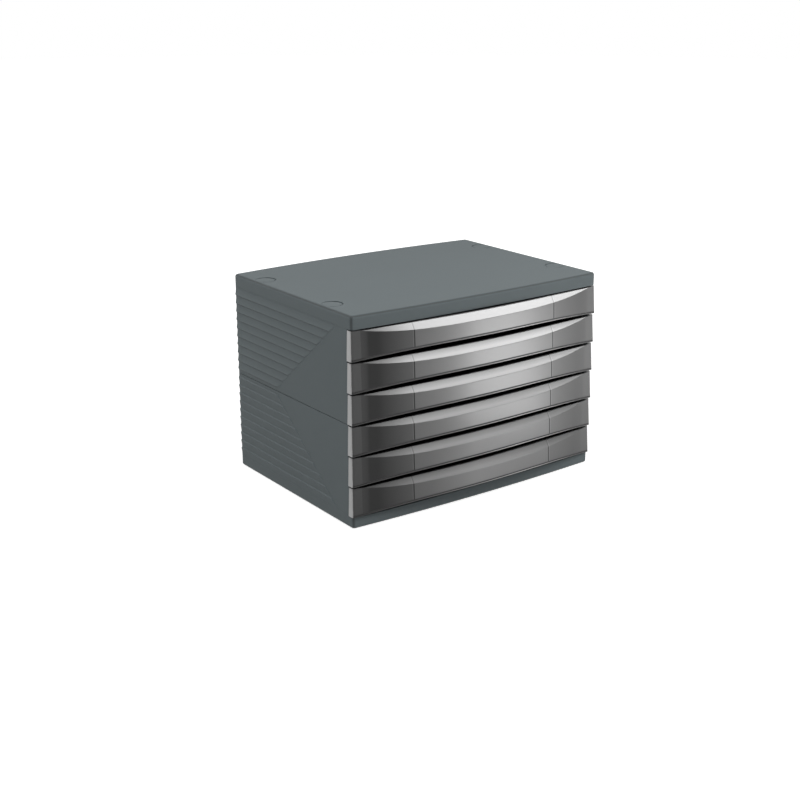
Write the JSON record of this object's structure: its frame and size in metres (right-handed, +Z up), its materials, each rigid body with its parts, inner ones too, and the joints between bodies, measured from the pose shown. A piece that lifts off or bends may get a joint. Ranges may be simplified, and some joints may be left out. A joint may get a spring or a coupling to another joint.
{
  "type": "desktop drawer unit",
  "caption": "Box-shaped plastic desktop drawer unit with a bowed front and back, louvred sides and smoke-tinted drawers with scooped, arched pull fronts.",
  "frame": {"origin": "bottom centre of the bounding box, on the surface that the feet stand on", "axes": "+X to the right of a person facing the drawers, the drawer fronts face -Y, +Z up"},
  "size_m": [0.365, 0.28, 0.25],
  "materials": {
    "casing_plastic": "fine-grained slate grey moulded plastic",
    "front_plastic": "smoke-tinted translucent plastic, satin on the face and polished in the scoop",
    "tray_plastic": "smoke-tinted plastic, satin inside",
    "foot_rubber": "black rubber"
  },
  "bodies": {
    "cabinet": {"top_cover": "casing_plastic", "upper_casing": "casing_plastic", "lower_casing": "casing_plastic", "base_plate": "casing_plastic", "foot_front_left": "foot_rubber", "foot_front_right": "foot_rubber", "foot_rear_left": "foot_rubber", "foot_rear_right": "foot_rubber"},
    "drawer_1": {"drawer_tray_1": "tray_plastic", "drawer_front_1": "front_plastic"},
    "drawer_2": {"drawer_tray_2": "tray_plastic", "drawer_front_2": "front_plastic"},
    "drawer_3": {"drawer_tray_3": "tray_plastic", "drawer_front_3": "front_plastic"},
    "drawer_4": {"drawer_tray_4": "tray_plastic", "drawer_front_4": "front_plastic"},
    "drawer_5": {"drawer_tray_5": "tray_plastic", "drawer_front_5": "front_plastic"},
    "drawer_6": {"drawer_tray_6": "tray_plastic", "drawer_front_6": "front_plastic"}
  },
  "joints": [
    {"name": "drawer_1_slide", "type": "slide", "parent": "cabinet", "child": "drawer_1", "axis": [0, -1, 0], "range_m": [0, 0.175]},
    {"name": "drawer_2_slide", "type": "slide", "parent": "cabinet", "child": "drawer_2", "axis": [0, -1, 0], "range_m": [0, 0.175]},
    {"name": "drawer_3_slide", "type": "slide", "parent": "cabinet", "child": "drawer_3", "axis": [0, -1, 0], "range_m": [0, 0.175]},
    {"name": "drawer_4_slide", "type": "slide", "parent": "cabinet", "child": "drawer_4", "axis": [0, -1, 0], "range_m": [0, 0.175]},
    {"name": "drawer_5_slide", "type": "slide", "parent": "cabinet", "child": "drawer_5", "axis": [0, -1, 0], "range_m": [0, 0.175]},
    {"name": "drawer_6_slide", "type": "slide", "parent": "cabinet", "child": "drawer_6", "axis": [0, -1, 0], "range_m": [0, 0.175]}
  ]
}
